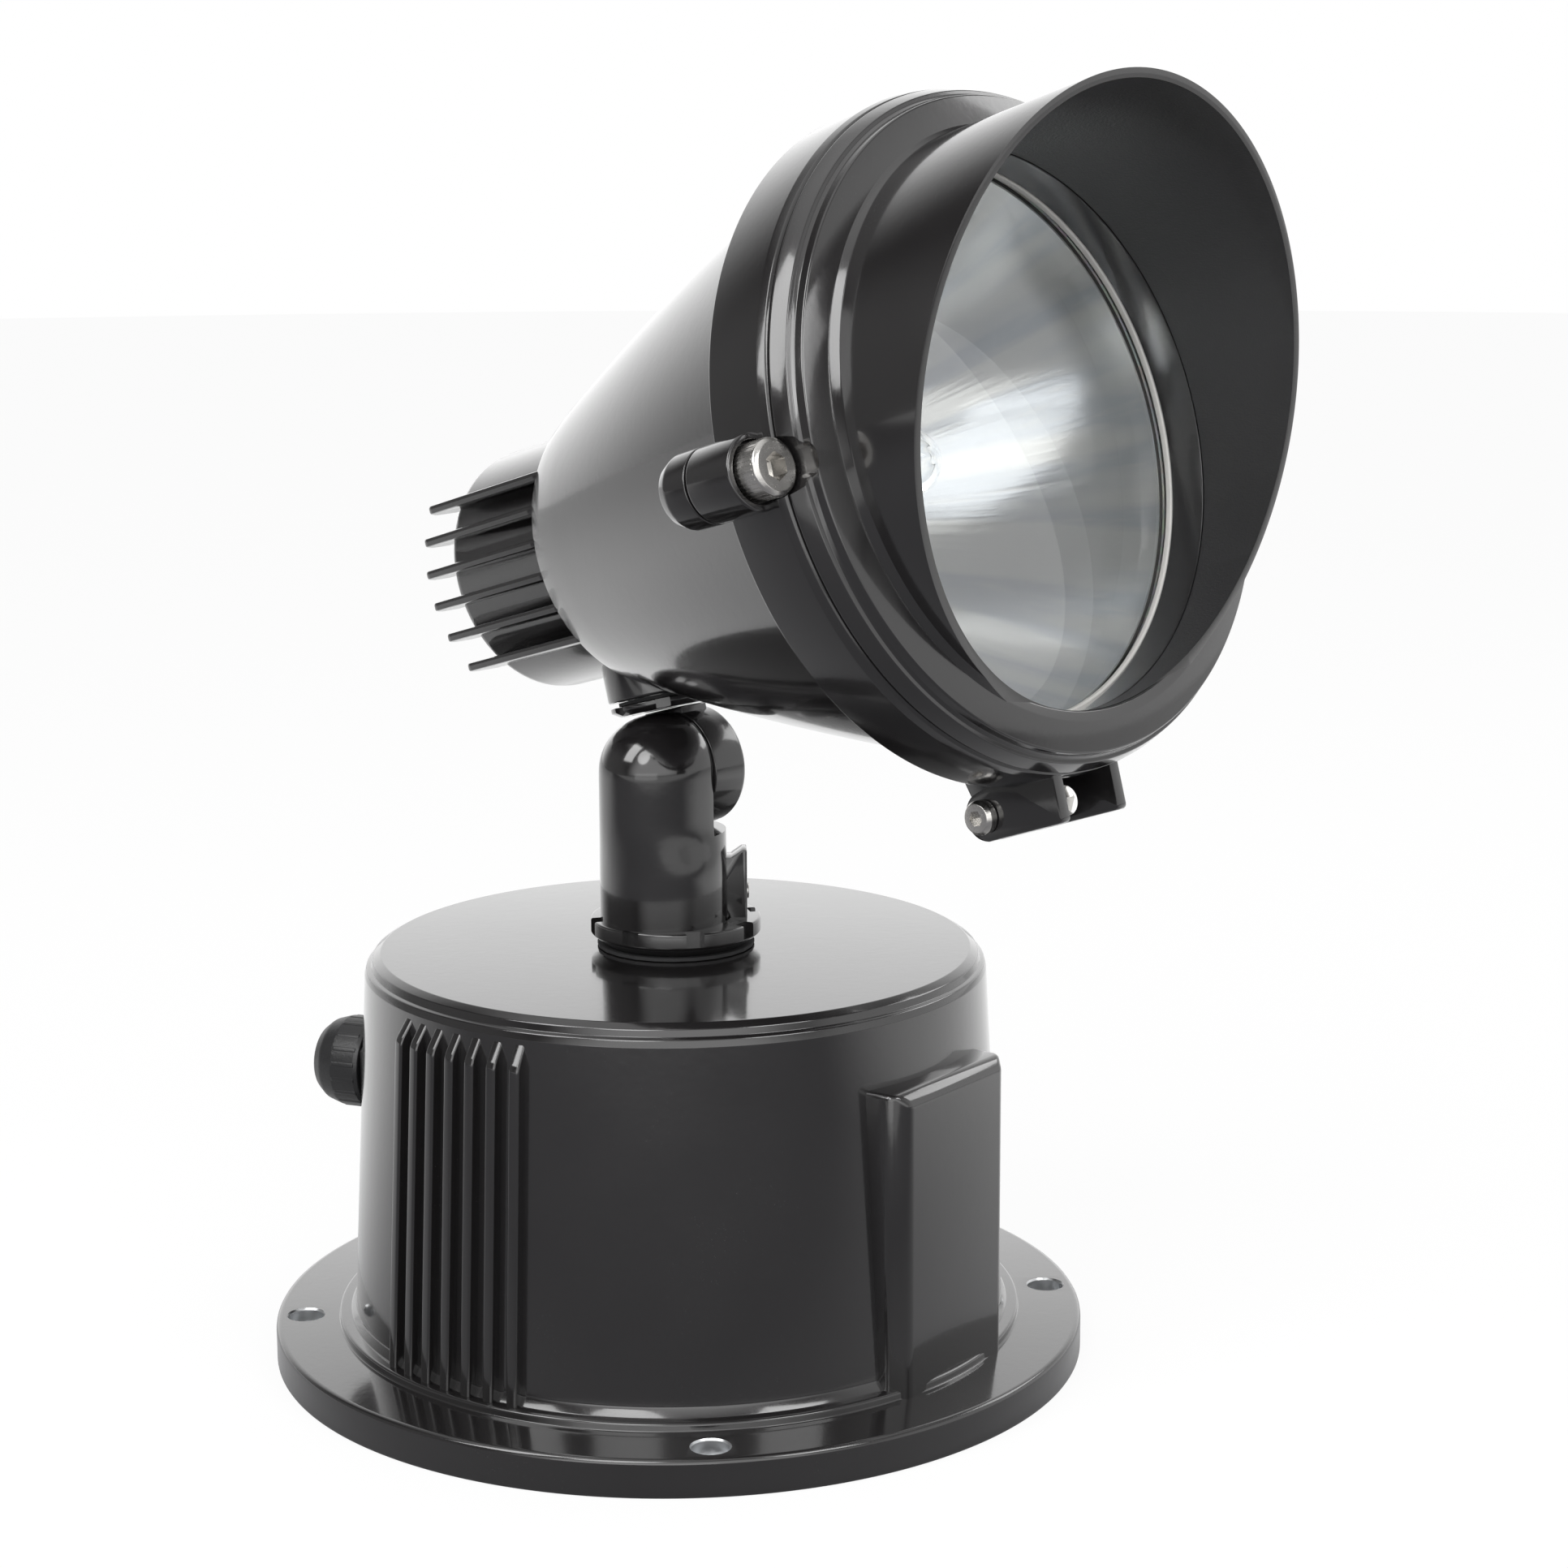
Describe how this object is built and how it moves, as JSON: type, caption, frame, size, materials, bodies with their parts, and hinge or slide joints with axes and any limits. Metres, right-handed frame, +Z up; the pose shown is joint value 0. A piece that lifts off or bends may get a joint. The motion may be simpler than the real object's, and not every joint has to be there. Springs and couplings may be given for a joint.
{
  "type": "garden spotlight",
  "caption": "Garden spotlight: hooded round lamp head with rear fins on a tilting and panning knuckle over a round gear box with a fixing flange.",
  "frame": {"origin": "centre of the flange's underside, on the ground", "axes": "+Z up; the lamp head aims along +X and is tilted 16 degrees above level at rest"},
  "size_m": [0.2978, 0.25, 0.3856],
  "materials": {
    "black_powder_coat": "gloss",
    "hood_paint": "satin",
    "stainless_steel": "satin",
    "zinc_plated_steel": "satin",
    "black_rubber": "matte",
    "silicone_seal": "matte",
    "polished_aluminium": "polished",
    "clear_glass": "polished",
    "white_ceramic": "satin",
    "enamelled_copper": "satin",
    "lamination_steel": "satin",
    "grey_plastic": "satin",
    "black_nylon": "satin",
    "brass": "satin"
  },
  "bodies": {
    "base": {"gear_box": "black_powder_coat", "base_plate": "zinc_plated_steel", "base_gasket": "black_rubber", "base_plate_screw_1": "stainless_steel", "base_plate_screw_2": "stainless_steel", "base_plate_screw_3": "stainless_steel", "base_plate_screw_4": "stainless_steel", "gear_tray": "zinc_plated_steel", "tray_screw_1": "stainless_steel", "tray_screw_2": "stainless_steel", "ballast_core": "lamination_steel", "ballast_coil": "enamelled_copper", "ballast_strap": "zinc_plated_steel", "strap_screw_1": "stainless_steel", "strap_screw_2": "stainless_steel", "capacitor": "polished_aluminium", "ignitor": "grey_plastic", "terminal_block": "black_nylon", "earth_stud": "brass", "gland_body": "black_nylon", "gland_nut": "black_nylon", "gland_seal": "black_rubber", "gland_locknut": "black_nylon"},
    "knuckle": {"lower_arm": "black_powder_coat", "lower_lock_ring": "black_powder_coat", "pan_seal": "black_rubber", "stem_nut": "zinc_plated_steel", "pivot_bolt": "stainless_steel", "pan_lock_screw": "stainless_steel"},
    "head": {"upper_arm": "black_powder_coat", "upper_lock_nut": "black_powder_coat", "arm_seal": "black_rubber", "lamp_housing": "black_powder_coat", "front_gasket": "silicone_seal", "reflector": "polished_aluminium", "reflector_pillar_1": "zinc_plated_steel", "reflector_pillar_2": "zinc_plated_steel", "reflector_pillar_3": "zinc_plated_steel", "holder_plate": "zinc_plated_steel", "holder_screw_1": "stainless_steel", "holder_screw_2": "stainless_steel", "lampholder": "white_ceramic", "discharge_lamp": "clear_glass", "hinge_bolt": "stainless_steel", "hinge_nut": "stainless_steel"},
    "door": {"glass_frame": "black_powder_coat", "hood": "hood_paint", "hood_screw_1": "stainless_steel", "hood_screw_2": "stainless_steel", "hood_screw_3": "stainless_steel", "hood_screw_4": "stainless_steel", "front_glass": "clear_glass", "glass_gasket": "silicone_seal", "glass_snap_ring": "zinc_plated_steel"},
    "clamp_left": {"clamp_screw_left": "stainless_steel"},
    "clamp_right": {"clamp_screw_right": "stainless_steel"}
  },
  "joints": [
    {"name": "pan", "type": "hinge", "parent": "base", "child": "knuckle", "pos_m": [0, 0, 0.1265], "axis": [0, 0, 1], "range_deg": [-170, 170]},
    {"name": "tilt", "type": "hinge", "parent": "knuckle", "child": "head", "pos_m": [0, 0, 0.181], "axis": [0, -1, 0], "range_deg": [-26, 74]},
    {"name": "door", "type": "hinge", "parent": "head", "child": "door", "pos_m": [0.13525, 0, 0.18785], "axis": [0, 1, 0], "range_deg": [0, 90]},
    {"name": "clamp_left_turn", "type": "hinge", "parent": "door", "child": "clamp_left", "pos_m": [0.11527, -0.0964, 0.28292], "axis": [0.9613, 0, 0.2756], "continuous": true},
    {"name": "clamp_right_turn", "type": "hinge", "parent": "door", "child": "clamp_right", "pos_m": [0.11527, 0.0964, 0.28292], "axis": [0.9613, 0, 0.2756], "continuous": true}
  ]
}
